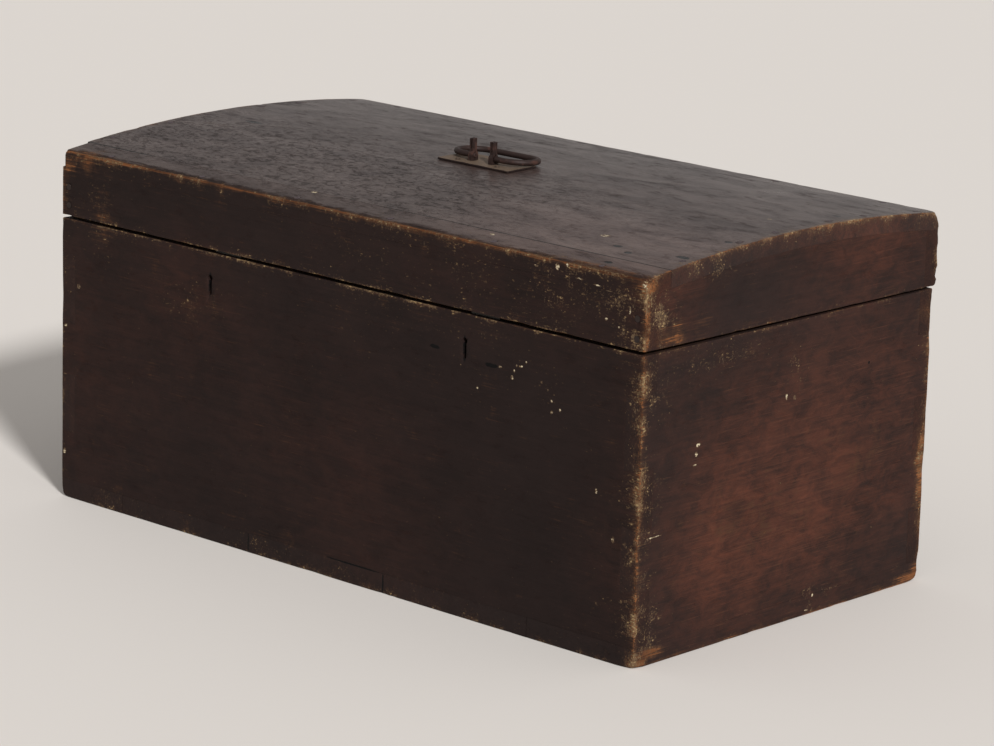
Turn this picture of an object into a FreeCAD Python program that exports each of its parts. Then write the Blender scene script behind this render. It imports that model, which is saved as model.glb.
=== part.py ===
import FreeCAD, Part
import math
import os

# Storage chest of painted pine boards: a dovetailed box, a lid with a low arched top,
# a pair of iron strap hinges, two locks and a swinging bail handle.
# Millimetres. +X to the right, +Y to the back, +Z up.
# The origin is on the floor, under the middle of the box.

Vector = FreeCAD.Vector
os.makedirs("parts", exist_ok=True)

# Box
chest_length = 1000.0
chest_depth = 544.0
rim_height = 375.0
wall = 25.0
floor_board = 25.0
dovetail_flare = 4.0
tail_shares = ((0.0, 0.19), (0.40, 0.61), (0.84, 1.0))
floor_joint_shares = (0.0, 0.118, 0.355, 0.593, 0.831, 1.0)

# Lid
lid_wall = 25.0
top_board = 22.0
lid_front_height = 85.0
lid_back_height = 92.0
arch_rise = 18.0
back_overhang = 7.0
front_strip_width = 43.0
front_strip_short = 5.0
top_board_shares = (0.0, 0.33, 0.66, 1.0)

# Keyholes
lock_spacing = 440.0
keyhole_drop = 29.0
keyhole_height = 26.0
keyhole_eye = 8.0
keyhole_slot = 5.2

# Locks
lock_width = 110.0
lock_height = 80.0
lock_depth = 20.0
lock_plate = 2.0
lock_flange = 14.0
bolt_tail_gap = 12.0
bolt_height = 9.0
bolt_thickness = 6.0
bolt_drop = 12.0
bolt_inset = 9.0
bolt_travel = 12.0
bolt_past = 4.0
bolt_clearance = 0.3
talon_width = 10.0
talon_depth = 4.0
guide_web = 3.0
guide_height = 22.0
guide_shares = (0.31, 0.86)
key_pin = 3.5
key_pin_setback = 1.0
spring_leaf = 0.8
spring_width = 5.0
spring_end_gap = 4.0
spring_seat = 9.0
spring_gap = 0.3

# Strikes: plates under the lid's front rail, with a tongue that the bolt enters
strike_plate = 4.0
strike_width = 46.0
strike_setback = 6.0
tongue_offset = 24.0
tongue_thickness = 5.0
tongue_width = 15.0
tongue_length = 22.0
tongue_clearance = 1.0

# Hinges
hinge_spacing = 600.0
strap_width = 30.0
lower_strap = 3.0
lower_strap_length = 165.0
strap_tip = 26.0
strap_tip_width = 12.0
upper_strap = 2.5
upper_strap_height = 52.0
hinge_pin = 6.0
hinge_eye = 11.0
hinge_clearance = 0.05
knuckle = 10.0
knuckle_gap = 0.4
pin_end = 2.0
pin_head = 9.0
hinge_recess = 1.0

# Handle
handle_x = -15.0
handle_y = 5.0
plate_length = 121.0
plate_front = 20.0
plate_back = 34.0
plate_thickness = 3.0
lug_spacing = 35.0
lug_thickness = 6.0
lug_height = 28.0
lug_eye = 13.0
lug_post = 7.5
lug_split = 1.2
lug_split_gap = 2.5
lug_shank = 6.0
shank_clearance = 0.2
rove = 16.0
rove_thickness = 2.0
rivet_head = 9.0
rivet_head_thickness = 2.5
pivot_height = 6.5
bail_rod = 8.0
bail_length = 129.0
bail_reach = 53.0
bail_journal = 6.0
bail_journal_tail = 2.0
journal_clearance = 0.05
shoulder_gap = 0.4
bail_rest_gap = 0.3

# Nails
wood_nail = 3.2
wood_nail_head = 8.0
wood_nail_head_thickness = 1.6
wood_nail_length = 52.0
top_nail_length = 46.0
wood_nail_inset = 13.0
iron_nail = 2.8
iron_nail_head = 7.0
iron_nail_head_height = 2.0
iron_nail_length = 20.0
nail_clearance = 0.1
floor_nail_recess = 0.5
floor_nail_shares = (0.22, 0.78)
floor_end_nail_shares = (0.2, 0.5, 0.8)
board_nail_shares = (0.2, 0.8)
rail_nail_shares = (0.08, 0.25, 0.42, 0.58, 0.75, 0.92)
corner_nail_shares = (0.22, 0.6)
strap_nail_shares = (0.2, 0.45, 0.7)
leaf_nail_shares = (0.35, 0.75)
lock_nail_shares = (0.15, 0.85)
strike_nail_shares = (0.18, 0.82)
handle_nail_shares = (0.22, 0.78)
handle_nail_depth_shares = (0.17, 0.79)

overrun = 2.0

# Places that follow from the sizes
right = chest_length / 2
left = -right
back = chest_depth / 2
front = -back
front_inside = front + wall
back_inside = back - wall
lid_back = back + back_overhang
lid_front_inside = front + lid_wall
lid_back_inside = lid_back - lid_wall
lid_front_under = rim_height + strike_plate
lid_back_under = rim_height + upper_strap
axis_y = back + lower_strap / 2
axis_z = lid_back_under
eye_radius = hinge_eye / 2
lock_places = {"left": -lock_spacing / 2, "right": lock_spacing / 2}
hinge_places = {"left": -hinge_spacing / 2, "right": hinge_spacing / 2}
bolt_tip = tongue_offset - (bolt_travel - tongue_thickness - bolt_past)
bolt_tail = lock_plate + bolt_tail_gap - lock_width / 2
bolt_y = front_inside + bolt_inset
bolt_z = rim_height - bolt_drop
keyhole_top = rim_height - keyhole_drop
plate_front_y = handle_y - plate_front
plate_back_y = handle_y + plate_back

# The lid's outside is one arc through its front edge, its crown and its back edge
arch_front = Vector(0, front, lid_front_under + lid_front_height)
arch_back = Vector(0, lid_back, lid_back_under + lid_back_height)
arch_crown = (arch_front + arch_back) * 0.5 + Vector(0, 0, arch_rise)
arch_circle = Part.Arc(arch_front, arch_crown, arch_back).toShape().Curve
arch_centre = arch_circle.Center
arch_radius = arch_circle.Radius


def save(node, *solids):
    """Write one node, which is one solid or a group of separate solids."""
    shape = solids[0] if len(solids) == 1 else Part.makeCompound(list(solids))
    shape.exportStep("parts/" + node + ".step")
    print(node, len(shape.Solids), "solid(s)", round(shape.Volume), "mm3")


def block(x_low, x_high, y_low, y_high, z_low, z_high):
    """Straight block between two opposite corners."""
    return Part.makeBox(x_high - x_low, y_high - y_low, z_high - z_low, Vector(x_low, y_low, z_low))


def rod_x(radius, x_low, x_high, y, z):
    """Round bar along X."""
    return Part.makeCylinder(radius, x_high - x_low, Vector(x_low, y, z), Vector(1, 0, 0))


def prism(points, direction):
    """Solid with a flat outline, carried along a direction."""
    return Part.Face(Part.makePolygon(points + points[:1])).extrude(direction)


def cut_all(shape, cutters):
    """Take every cutter out of a shape, which stays one solid."""
    return shape.cut(Part.makeCompound(list(cutters))).removeSplitter().Solids[0]


def fuse_all(first, *others):
    """Join overlapping shapes into one solid."""
    return first.multiFuse(list(others)).removeSplitter().Solids[0]


def arch_z(y, offset):
    """Height of the lid's arc at a depth, moved out (or in) square to its surface."""
    return arch_centre.z + math.sqrt((arch_radius + offset) ** 2 - (y - arch_centre.y) ** 2)


def arch_normal(y):
    """Direction square to the lid's top, pointing down into it."""
    return Vector(0, arch_centre.y - y, arch_centre.z - arch_z(y, 0)).normalize()


def arch_edge(x, y_from, y_to, offset):
    """Piece of the lid's arc as an edge."""
    depths = (y_from, (y_from + y_to) / 2, y_to)
    return Part.Arc(*[Vector(x, y, arch_z(y, offset)) for y in depths]).toShape()


def arched(x_low, x_high, y_low, y_high, offset, low_edge):
    """Solid along X with the lid's arc as its top and low_edge underneath."""
    top_edge = arch_edge(x_low, y_low, y_high, offset)
    ends = ((low_edge.Vertexes[0].Point, top_edge.Vertexes[0].Point),
            (low_edge.Vertexes[-1].Point, top_edge.Vertexes[-1].Point))
    sides = [Part.makeLine(low, high) for low, high in ends]
    outline = Part.Wire(Part.__sortEdges__([low_edge, sides[1], top_edge, sides[0]]))
    return Part.Face(outline).extrude(Vector(x_high - x_low, 0, 0))


def arch_band(x_low, x_high, y_low, y_high, inner, outer):
    """Bent plate that follows the lid's arc between two offsets."""
    return arched(x_low, x_high, y_low, y_high, outer, arch_edge(x_low, y_low, y_high, inner))


def under_arch(x_low, x_high, y_low, y_high, z_front, z_back):
    """Board that stands under the top boards, on an edge that may slope."""
    low_edge = Part.makeLine(Vector(x_low, y_low, z_front), Vector(x_low, y_high, z_back))
    return arched(x_low, x_high, y_low, y_high, -top_board, low_edge)


def wood_nail_at(point, direction, length, ease=0.0):
    """Nail with its flat head level with the wood. An ease makes the hole for it."""
    reach = overrun if ease else 0.0
    start = point - direction * reach
    shank = Part.makeCylinder(wood_nail / 2 + ease, length + ease + reach, start, direction)
    head = Part.makeCylinder(wood_nail_head / 2 + ease, wood_nail_head_thickness + reach, start, direction)
    return fuse_all(shank, head)


def iron_nail_at(point, direction):
    """Nail with a raised rose head that holds an iron plate."""
    shank = Part.makeCylinder(iron_nail / 2, iron_nail_length, point, direction)
    head = Part.makeCone(iron_nail_head / 2, iron_nail / 2, iron_nail_head_height, point, direction * -1)
    return fuse_all(shank, head)


def iron_nail_hole(point, direction):
    """Hole for the shank of a rose-headed nail, open at the plate."""
    start = point - direction * overrun
    length = iron_nail_length + nail_clearance + overrun
    return Part.makeCylinder(iron_nail / 2 + nail_clearance, length, start, direction)


def share_of(low, high, share):
    """Place between two others."""
    return low + (high - low) * share


# Nails through the bottom boards, up into the walls
up = Vector(0, 0, 1)
down = Vector(0, 0, -1)
inward = Vector(0, 1, 0)
outward = Vector(0, -1, 0)
floor_edges = [share_of(left, right, share) for share in floor_joint_shares]
floor_nail_places = [
    Vector(share_of(low, high, share), y, floor_nail_recess)
    for low, high in zip(floor_edges, floor_edges[1:])
    for share in floor_nail_shares
    for y in (front + wall / 2, back - wall / 2)
] + [
    Vector(x, share_of(front_inside, back_inside, share), floor_nail_recess)
    for x in (left + wall / 2, right - wall / 2)
    for share in floor_end_nail_shares
]
floor_nails = [wood_nail_at(place, up, wood_nail_length) for place in floor_nail_places]
floor_nail_holes = [
    wood_nail_at(place, up, wood_nail_length, nail_clearance) for place in floor_nail_places
]


# Locks, one behind each keyhole
guide_offsets = [share_of(bolt_tail, bolt_tip, share) for share in guide_shares]


def lock_nail_places(x):
    """Nails in the two side flanges of a lock."""
    ears = (lock_width + lock_flange) / 2
    y = front_inside + lock_plate
    low = rim_height - lock_height
    return [Vector(x + side * ears, y, share_of(low, rim_height, share))
            for side in (-1, 1) for share in lock_nail_shares]


def lock_case(x):
    """Tray of sheet iron, open towards the wall, with guides for the bolt and a pin for the key."""
    half = lock_width / 2
    low = rim_height - lock_height
    cover = front_inside + lock_depth
    shell = block(x - half, x + half, front_inside, cover, low, rim_height)
    hollow = block(x - half + lock_plate, x + half - lock_plate, front_inside - overrun, cover - lock_plate,
                   low + lock_plate, rim_height - lock_plate)
    ears = block(x - half - lock_flange, x + half + lock_flange, front_inside, front_inside + lock_plate,
                 low, rim_height)
    guides = []
    for offset in guide_offsets:
        guides.append(block(x + offset, x + offset + guide_web, front_inside, cover - lock_plate / 2,
                            rim_height - guide_height, rim_height - lock_plate / 2))
    way = block(x - half + lock_plate, x + half - lock_plate,
                bolt_y - bolt_thickness / 2 - bolt_clearance, bolt_y + bolt_thickness / 2 + bolt_clearance,
                bolt_z - bolt_height / 2 - bolt_clearance, bolt_z + bolt_height / 2 + bolt_clearance)
    slot = block(x + tongue_offset - tongue_clearance,
                 x + tongue_offset + tongue_thickness + tongue_clearance,
                 bolt_y - tongue_width / 2 - tongue_clearance, bolt_y + tongue_width / 2 + tongue_clearance,
                 rim_height - lock_plate - overrun, rim_height + overrun)
    pin_start = front_inside + key_pin_setback
    pin = Part.makeCylinder(key_pin / 2, cover - lock_plate / 2 - pin_start,
                            Vector(x, pin_start, keyhole_top - keyhole_eye / 2), inward)
    case = fuse_all(shell, ears).cut(hollow)
    case = fuse_all(case, *guides, pin)
    holes = [iron_nail_hole(place, outward) for place in lock_nail_places(x)]
    return cut_all(case, [way, slot] + holes)


def lock_bolt(x):
    """Sliding bolt with a notch on its underside for the key."""
    bar = block(x + bolt_tail, x + bolt_tip, bolt_y - bolt_thickness / 2, bolt_y + bolt_thickness / 2,
                bolt_z - bolt_height / 2, bolt_z + bolt_height / 2)
    talon = block(x - talon_width / 2, x + talon_width / 2,
                  bolt_y - bolt_thickness / 2 - overrun, bolt_y + bolt_thickness / 2 + overrun,
                  bolt_z - bolt_height / 2 - overrun, bolt_z - bolt_height / 2 + talon_depth)
    return cut_all(bar, [talon])


def lock_spring(x):
    """Leaf spring, fixed under the top of the case, with its free end over the bolt."""
    start = x - lock_width / 2 + lock_plate
    end = x + guide_offsets[0] - spring_end_gap
    seat = rim_height - lock_plate
    tip = bolt_z + bolt_height / 2 + spring_gap
    y = bolt_y - spring_width / 2
    outline = [
        Vector(start, y, seat),
        Vector(start + spring_seat, y, seat),
        Vector(end, y, tip + spring_leaf),
        Vector(end, y, tip),
        Vector(start + spring_seat, y, seat - spring_leaf),
        Vector(start, y, seat - spring_leaf),
    ]
    return prism(outline, Vector(0, spring_width, 0))


# Strikes
def strike_span(x):
    """Ends of a strike plate along X, with its tongue in the middle."""
    middle = x + tongue_offset + tongue_thickness / 2
    return middle - strike_width / 2, middle + strike_width / 2


def strike_nail_places(x):
    """Two nails up into the rail, with their heads level with the plate."""
    low, high = strike_span(x)
    y = (front + strike_setback + lid_front_inside) / 2
    return [Vector(share_of(low, high, share), y, rim_height) for share in strike_nail_shares]


def lock_strike(x):
    """Plate under the rail, which rests on the rim, with a slotted tongue."""
    low, high = strike_span(x)
    plate = block(low, high, front + strike_setback, bolt_y + tongue_width / 2, rim_height, lid_front_under)
    tongue = block(x + tongue_offset, x + tongue_offset + tongue_thickness,
                   bolt_y - tongue_width / 2, bolt_y + tongue_width / 2,
                   rim_height - tongue_length, lid_front_under)
    window = block(x + tongue_offset - overrun, x + tongue_offset + tongue_thickness + overrun,
                   bolt_y - bolt_thickness / 2 - tongue_clearance,
                   bolt_y + bolt_thickness / 2 + tongue_clearance,
                   bolt_z - bolt_height / 2 - tongue_clearance, bolt_z + bolt_height / 2 + tongue_clearance)
    holes = [wood_nail_at(place, up, iron_nail_length, nail_clearance) for place in strike_nail_places(x)]
    return cut_all(fuse_all(plate, tongue), [window] + holes)


strike_nail_list = [place for x in lock_places.values() for place in strike_nail_places(x)]
strike_nails = [wood_nail_at(place, up, iron_nail_length) for place in strike_nail_list]
strike_nail_holes = [
    wood_nail_at(place, up, iron_nail_length, nail_clearance) for place in strike_nail_list
]
lock_nail_list = [place for x in lock_places.values() for place in lock_nail_places(x)]
lock_nails = [iron_nail_at(place, outward) for place in lock_nail_list]
lock_nail_holes = [iron_nail_hole(place, outward) for place in lock_nail_list]


# Hinges: the lower strap is nailed outside the back wall, the upper one comes through the
# joint, under the lid's back rail, and is nailed up its inside
lower_strap_top = axis_z - eye_radius - knuckle_gap
lower_strap_end = axis_z - lower_strap_length
upper_strap_top = lid_back_under + upper_strap_height


def strap_nail_places(x):
    """Nails down the middle of a lower strap."""
    return [Vector(x, back + lower_strap, share_of(lower_strap_top, lower_strap_end, share))
            for share in strap_nail_shares]


def leaf_nail_places(x):
    """Nails up the leaf inside the lid."""
    return [Vector(x, lid_back_inside - upper_strap, share_of(lid_back_under, upper_strap_top, share))
            for share in leaf_nail_shares]


def hinge_lower_strap(x):
    """Outside strap with a tapered tail and one eye in the middle."""
    half = strap_width / 2
    tip_half = strap_tip_width / 2
    outline = [
        Vector(x - half, back, lower_strap_top),
        Vector(x + half, back, lower_strap_top),
        Vector(x + half, back, lower_strap_end + strap_tip),
        Vector(x + tip_half, back, lower_strap_end),
        Vector(x - tip_half, back, lower_strap_end),
        Vector(x - half, back, lower_strap_end + strap_tip),
    ]
    strap = prism(outline, Vector(0, lower_strap, 0))
    neck = block(x - knuckle / 2, x + knuckle / 2, back, back + lower_strap,
                 lower_strap_top - overrun, axis_z)
    eye = rod_x(eye_radius, x - knuckle / 2, x + knuckle / 2, axis_y, axis_z)
    bore = rod_x(hinge_pin / 2 + hinge_clearance, x - half, x + half, axis_y, axis_z)
    holes = [iron_nail_hole(place, outward) for place in strap_nail_places(x)]
    return cut_all(fuse_all(strap, neck, eye), [bore] + holes)


def hinge_upper_strap(x):
    """Strap bent through the joint, with an eye at each side."""
    half = strap_width / 2
    leaf = block(x - half, x + half, lid_back_inside - upper_strap, axis_y, rim_height, lid_back_under)
    upright = block(x - half, x + half, lid_back_inside - upper_strap, lid_back_inside,
                    rim_height, upper_strap_top)
    eyes = rod_x(eye_radius, x - half, x + half, axis_y, axis_z)
    space = eye_radius + knuckle_gap
    middle = block(x - knuckle / 2 - knuckle_gap, x + knuckle / 2 + knuckle_gap,
                   axis_y - space, axis_y + space, axis_z - space, axis_z + space)
    bore = rod_x(hinge_pin / 2 + hinge_clearance, x - strap_width, x + strap_width, axis_y, axis_z)
    holes = [iron_nail_hole(place, inward) for place in leaf_nail_places(x)]
    return cut_all(fuse_all(leaf, upright, eyes), [middle, bore] + holes)


def hinge_pin_at(x):
    """Pin through the three eyes, with a head at one end."""
    half = strap_width / 2
    shaft = rod_x(hinge_pin / 2, x - half - pin_end, x + half + knuckle_gap, axis_y, axis_z)
    head = rod_x(pin_head / 2, x + half + knuckle_gap, x + half + knuckle_gap + pin_end, axis_y, axis_z)
    return fuse_all(shaft, head)


def hinge_notch(x, y_low, y_high, z_low, z_high):
    """Room in a board for the eyes and pin of a hinge."""
    half = strap_width / 2 + knuckle_gap + pin_end + hinge_recess
    return block(x - half, x + half, y_low, y_high, z_low, z_high)


strap_nail_list = [place for x in hinge_places.values() for place in strap_nail_places(x)]
strap_nails = [iron_nail_at(place, outward) for place in strap_nail_list]
strap_nail_holes = [iron_nail_hole(place, outward) for place in strap_nail_list]
leaf_nail_list = [place for x in hinge_places.values() for place in leaf_nail_places(x)]
leaf_nails = [iron_nail_at(place, inward) for place in leaf_nail_list]
leaf_nail_holes = [iron_nail_hole(place, inward) for place in leaf_nail_list]
notch_depth = axis_y - eye_radius - hinge_recess
back_wall_notches = [
    hinge_notch(x, notch_depth, back + overrun,
                axis_z - eye_radius - hinge_recess, rim_height + overrun)
    for x in hinge_places.values()
]
back_rail_notches = [
    hinge_notch(x, notch_depth, lid_back + overrun,
                lid_back_under - overrun, axis_z + eye_radius + hinge_recess)
    for x in hinge_places.values()
]


# Box: the front and back boards carry the tails, the end boards the pins between them
def tails(x_base, x_end, y_low, y_high):
    """Tails that widen from their base to the end face of the chest."""
    shapes = []
    for low_share, high_share in tail_shares:
        low = share_of(floor_board, rim_height, low_share)
        high = share_of(floor_board, rim_height, high_share)
        low_base = low + dovetail_flare if low > floor_board else low
        high_base = high - dovetail_flare if high < rim_height else high
        outline = [
            Vector(x_base, y_low, low_base),
            Vector(x_end, y_low, low),
            Vector(x_end, y_low, high),
            Vector(x_base, y_low, high_base),
        ]
        shapes.append(prism(outline, Vector(0, y_high - y_low, 0)))
    return shapes


def tailed_board(y_low, y_high):
    """Long wall of the box, with tails at both ends."""
    middle = block(left + wall, right - wall, y_low, y_high, floor_board, rim_height)
    left_tails = tails(left + wall, left, y_low, y_high)
    right_tails = tails(right - wall, right, y_low, y_high)
    return fuse_all(middle, *left_tails, *right_tails)


def keyhole(x):
    """Round eye with a slot below it, right through the front wall."""
    eye_z = keyhole_top - keyhole_eye / 2
    foot_z = keyhole_top - keyhole_height + keyhole_slot / 2
    start = front - overrun
    depth = wall + overrun * 2
    eye = Part.makeCylinder(keyhole_eye / 2, depth, Vector(x, start, eye_z), inward)
    foot = Part.makeCylinder(keyhole_slot / 2, depth, Vector(x, start, foot_z), inward)
    slot = block(x - keyhole_slot / 2, x + keyhole_slot / 2, start, start + depth, foot_z, eye_z)
    return fuse_all(eye, slot, foot)


def end_board(x_low, x_high, tail_base, tail_end):
    """Short wall of the box, cut out for the tails of both long walls."""
    board = block(x_low, x_high, front, back, floor_board, rim_height)
    front_sockets = tails(tail_base, tail_end, front, front_inside)
    back_sockets = tails(tail_base, tail_end, back_inside, back)
    return cut_all(board, front_sockets + back_sockets + floor_nail_holes)


keyholes = [keyhole(x) for x in lock_places.values()]
save("front_board", cut_all(tailed_board(front, front_inside),
                            keyholes + lock_nail_holes + floor_nail_holes))
save("back_board", cut_all(tailed_board(back_inside, back),
                           back_wall_notches + strap_nail_holes + floor_nail_holes))
save("left_end_board", end_board(left, left + wall, left + wall, left))
save("right_end_board", end_board(right - wall, right, right - wall, right))
for number, (low, high) in enumerate(zip(floor_edges, floor_edges[1:]), start=1):
    board = block(low, high, front, back, 0, floor_board)
    save("bottom_board_%d" % number, cut_all(board, floor_nail_holes))
save("bottom_nails", *floor_nails)

for side, x in lock_places.items():
    save(side + "_lock_case", lock_case(x))
    save(side + "_lock_bolt", lock_bolt(x))
    save(side + "_lock_spring", lock_spring(x))
    save(side + "_lock_strike", lock_strike(x))
save("lock_nails", *lock_nails)
save("strike_nails", *strike_nails)

for side, x in hinge_places.items():
    save(side + "_hinge_lower_strap", hinge_lower_strap(x))
    save(side + "_hinge_upper_strap", hinge_upper_strap(x))
    save(side + "_hinge_pin", hinge_pin_at(x))
save("hinge_box_nails", *strap_nails)
save("hinge_lid_nails", *leaf_nails)


# Handle: a bent plate, two eyed lugs riveted through the crown, and a bail that swings in them
plate_left_x = handle_x - plate_length / 2
plate_right_x = handle_x + plate_length / 2
plate_z = arch_z(handle_y, plate_thickness)
pivot_z = plate_z + pivot_height
lug_places = {"left": handle_x - lug_spacing / 2, "right": handle_x + lug_spacing / 2}


def square_bar(x, y, size, z_low, z_high):
    """Upright bar of square section."""
    return block(x - size / 2, x + size / 2, y - size / 2, y + size / 2, z_low, z_high)


def rove_blank(x):
    """Square washer before its hole is made, bent to the inside of the lid."""
    half = rove / 2
    return arch_band(x - half, x + half, handle_y - half, handle_y + half,
                     -top_board - rove_thickness, -top_board)


shank_holes = [
    square_bar(x, handle_y, lug_shank + shank_clearance * 2, lid_front_under, plate_z + overrun)
    for x in lug_places.values()
]
handle_nail_places = [
    Vector(share_of(plate_left_x, plate_right_x, share), y, arch_z(y, plate_thickness))
    for share in handle_nail_shares
    for y in [share_of(plate_front_y, plate_back_y, share) for share in handle_nail_depth_shares]
]
handle_nails = [iron_nail_at(place, arch_normal(place.y)) for place in handle_nail_places]
handle_nail_holes = [iron_nail_hole(place, arch_normal(place.y)) for place in handle_nail_places]
plate_blank = arch_band(plate_left_x, plate_right_x, plate_front_y, plate_back_y, 0, plate_thickness)


def handle_lug(x):
    """Flat lug with an eye, a split post above it and a riveted shank through the lid."""
    low = x - lug_thickness / 2
    high = x + lug_thickness / 2
    eye_half = lug_eye / 2
    foot = block(low, high, handle_y - eye_half, handle_y + eye_half,
                 plate_z - plate_thickness / 2, pivot_z)
    eye = rod_x(eye_half, low, high, handle_y, pivot_z)
    post = block(low, high, handle_y - lug_post / 2, handle_y + lug_post / 2, pivot_z, plate_z + lug_height)
    body = fuse_all(foot, eye, post).cut(plate_blank).Solids[0]
    under = arch_z(handle_y, -top_board - rove_thickness)
    shank = square_bar(x, handle_y, lug_shank, under - rivet_head_thickness, pivot_z)
    rivet = Part.makeCylinder(rivet_head / 2, rivet_head_thickness + rove_thickness / 2,
                              Vector(x, handle_y, under + rove_thickness / 2), down).cut(rove_blank(x))
    bore = rod_x(bail_journal / 2 + journal_clearance, low - overrun, high + overrun, handle_y, pivot_z)
    split = block(x - lug_split / 2, x + lug_split / 2, handle_y - lug_post, handle_y + lug_post,
                  pivot_z + eye_half + lug_split_gap, plate_z + lug_height + overrun)
    return cut_all(fuse_all(body, shank, rivet), [bore, split])


def handle_rove(x):
    """Square washer under the lid, below a lug's shank."""
    return cut_all(rove_blank(x), shank_holes)


def handle_bail():
    """Oval ring of round rod, open between the lugs, with a journal at each end."""
    rod = bail_rod / 2
    bend = bail_reach / 2
    shoulder = (lug_spacing + lug_thickness) / 2 + shoulder_gap
    inner_end = (lug_spacing - lug_thickness) / 2 - bail_journal_tail
    turn = bail_length / 2 - rod - bend

    def spot(x, y):
        return Vector(handle_x + x, handle_y + y, pivot_z)

    path = Part.Wire([
        Part.makeLine(spot(-shoulder, 0), spot(-turn, 0)),
        Part.Arc(spot(-turn, 0), spot(-turn - bend, bend), spot(-turn, bail_reach)).toShape(),
        Part.makeLine(spot(-turn, bail_reach), spot(turn, bail_reach)),
        Part.Arc(spot(turn, bail_reach), spot(turn + bend, bend), spot(turn, 0)).toShape(),
        Part.makeLine(spot(turn, 0), spot(shoulder, 0)),
    ])
    section = Part.Wire([Part.makeCircle(rod, spot(-shoulder, 0), Vector(1, 0, 0))])
    ring = path.makePipeShell([section], True, False)
    journals = [
        rod_x(bail_journal / 2, handle_x + low, handle_x + high, handle_y, pivot_z)
        for low, high in ((-shoulder - rod, -inner_end), (inner_end, shoulder + rod))
    ]
    bail = fuse_all(ring, *journals)
    edge_z = arch_z(plate_back_y, plate_thickness)
    fall = (pivot_z - edge_z - rod - bail_rest_gap) / plate_back
    bail.rotate(Vector(handle_x, handle_y, pivot_z), Vector(1, 0, 0), -math.degrees(math.asin(fall)))
    return bail


save("handle_plate", cut_all(plate_blank, shank_holes + handle_nail_holes))
for side, x in lug_places.items():
    save("handle_%s_lug" % side, handle_lug(x))
save("handle_roves", *[handle_rove(x) for x in lug_places.values()])
save("handle_nails", *handle_nails)
save("handle_bail", handle_bail())


# Lid: two rails, two ends between them, and boards bent over all four
strip_back = front + front_strip_width
top_edges = [share_of(strip_back, lid_back, share) for share in top_board_shares]
end_nail_rows = [
    share_of(low, high, share) for low, high in zip(top_edges, top_edges[1:]) for share in board_nail_shares
]
top_nail_places = [
    Vector(x, y, arch_z(y, 0))
    for x in (left + wood_nail_inset, right - wood_nail_inset)
    for y in end_nail_rows
] + [
    Vector(share_of(left, right, share), y, arch_z(y, 0))
    for share in rail_nail_shares
    for y in (front + wood_nail_inset, lid_back - wood_nail_inset)
]
top_nails = [wood_nail_at(place, arch_normal(place.y), top_nail_length) for place in top_nail_places]
top_nail_holes = [
    wood_nail_at(place, arch_normal(place.y), top_nail_length, nail_clearance) for place in top_nail_places
]
corner_nail_places = [
    (Vector(x, y, share_of(z_low, arch_z(y, -top_board), share)), direction)
    for x in (left + lid_wall / 2, right - lid_wall / 2)
    for y, z_low, direction in ((front, lid_front_under, inward), (lid_back, lid_back_under, outward))
    for share in corner_nail_shares
]
corner_nails = [wood_nail_at(place, way, wood_nail_length) for place, way in corner_nail_places]
corner_nail_holes = [
    wood_nail_at(place, way, wood_nail_length, nail_clearance) for place, way in corner_nail_places
]
lid_nail_holes = top_nail_holes + corner_nail_holes

front_rail = under_arch(left, right, front, lid_front_inside, lid_front_under, lid_front_under)
back_rail = under_arch(left, right, lid_back_inside, lid_back, lid_back_under, lid_back_under)
save("lid_front_rail", cut_all(front_rail, strike_nail_holes + lid_nail_holes))
save("lid_back_rail", cut_all(back_rail, back_rail_notches + leaf_nail_holes + lid_nail_holes))
for side, low, high in (("left", left, left + lid_wall), ("right", right - lid_wall, right)):
    end = under_arch(low, high, lid_front_inside, lid_back_inside, lid_front_under, lid_back_under)
    save("lid_%s_end" % side, cut_all(end, lid_nail_holes))

strip = arch_band(left + front_strip_short, right, front, strip_back, -top_board, 0)
save("lid_front_strip", cut_all(strip, top_nail_holes))
for number, (low, high) in enumerate(zip(top_edges, top_edges[1:]), start=1):
    board = arch_band(left, right, low, high, -top_board, 0)
    save("lid_top_board_%d" % number, cut_all(board, top_nail_holes + shank_holes + handle_nail_holes))
save("lid_top_nails", *top_nails)
save("lid_corner_nails", *corner_nails)
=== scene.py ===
# %% [markdown]
# # A painted pine storage chest
# The chest's boards, locks, hinges and handle come ready made and in place from the CAD model.
# This lesson gives them age: it rounds and chips the boards as a century of use does, and paints
# every surface with materials made of nodes.

# %% Load the chest
import math

import bmesh
import bpy
import numpy as np
from mathutils import Euler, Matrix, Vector, noise


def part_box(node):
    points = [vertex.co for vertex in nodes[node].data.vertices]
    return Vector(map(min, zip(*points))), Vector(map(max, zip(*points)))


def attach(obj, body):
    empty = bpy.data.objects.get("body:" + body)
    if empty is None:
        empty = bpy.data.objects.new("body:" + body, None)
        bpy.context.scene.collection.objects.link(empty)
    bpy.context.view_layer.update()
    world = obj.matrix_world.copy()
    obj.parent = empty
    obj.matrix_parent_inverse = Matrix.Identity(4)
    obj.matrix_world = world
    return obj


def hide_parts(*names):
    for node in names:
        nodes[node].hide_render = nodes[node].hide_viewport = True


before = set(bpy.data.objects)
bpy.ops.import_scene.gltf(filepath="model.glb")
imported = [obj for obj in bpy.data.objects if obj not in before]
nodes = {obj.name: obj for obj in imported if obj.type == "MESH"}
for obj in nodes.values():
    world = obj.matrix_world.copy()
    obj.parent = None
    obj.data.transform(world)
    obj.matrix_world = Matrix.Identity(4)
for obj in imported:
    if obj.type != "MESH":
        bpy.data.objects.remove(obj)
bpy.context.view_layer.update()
mm = 0.001

# %% [markdown]
# ## Camera
# The photograph looks at the front and the right end from a little above, through a long lens.
# The camera's place, turn and lens were fitted to the corners of the box and to the keyholes, so
# the chest lands on the same pixels of a picture of 994 by 746.

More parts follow.
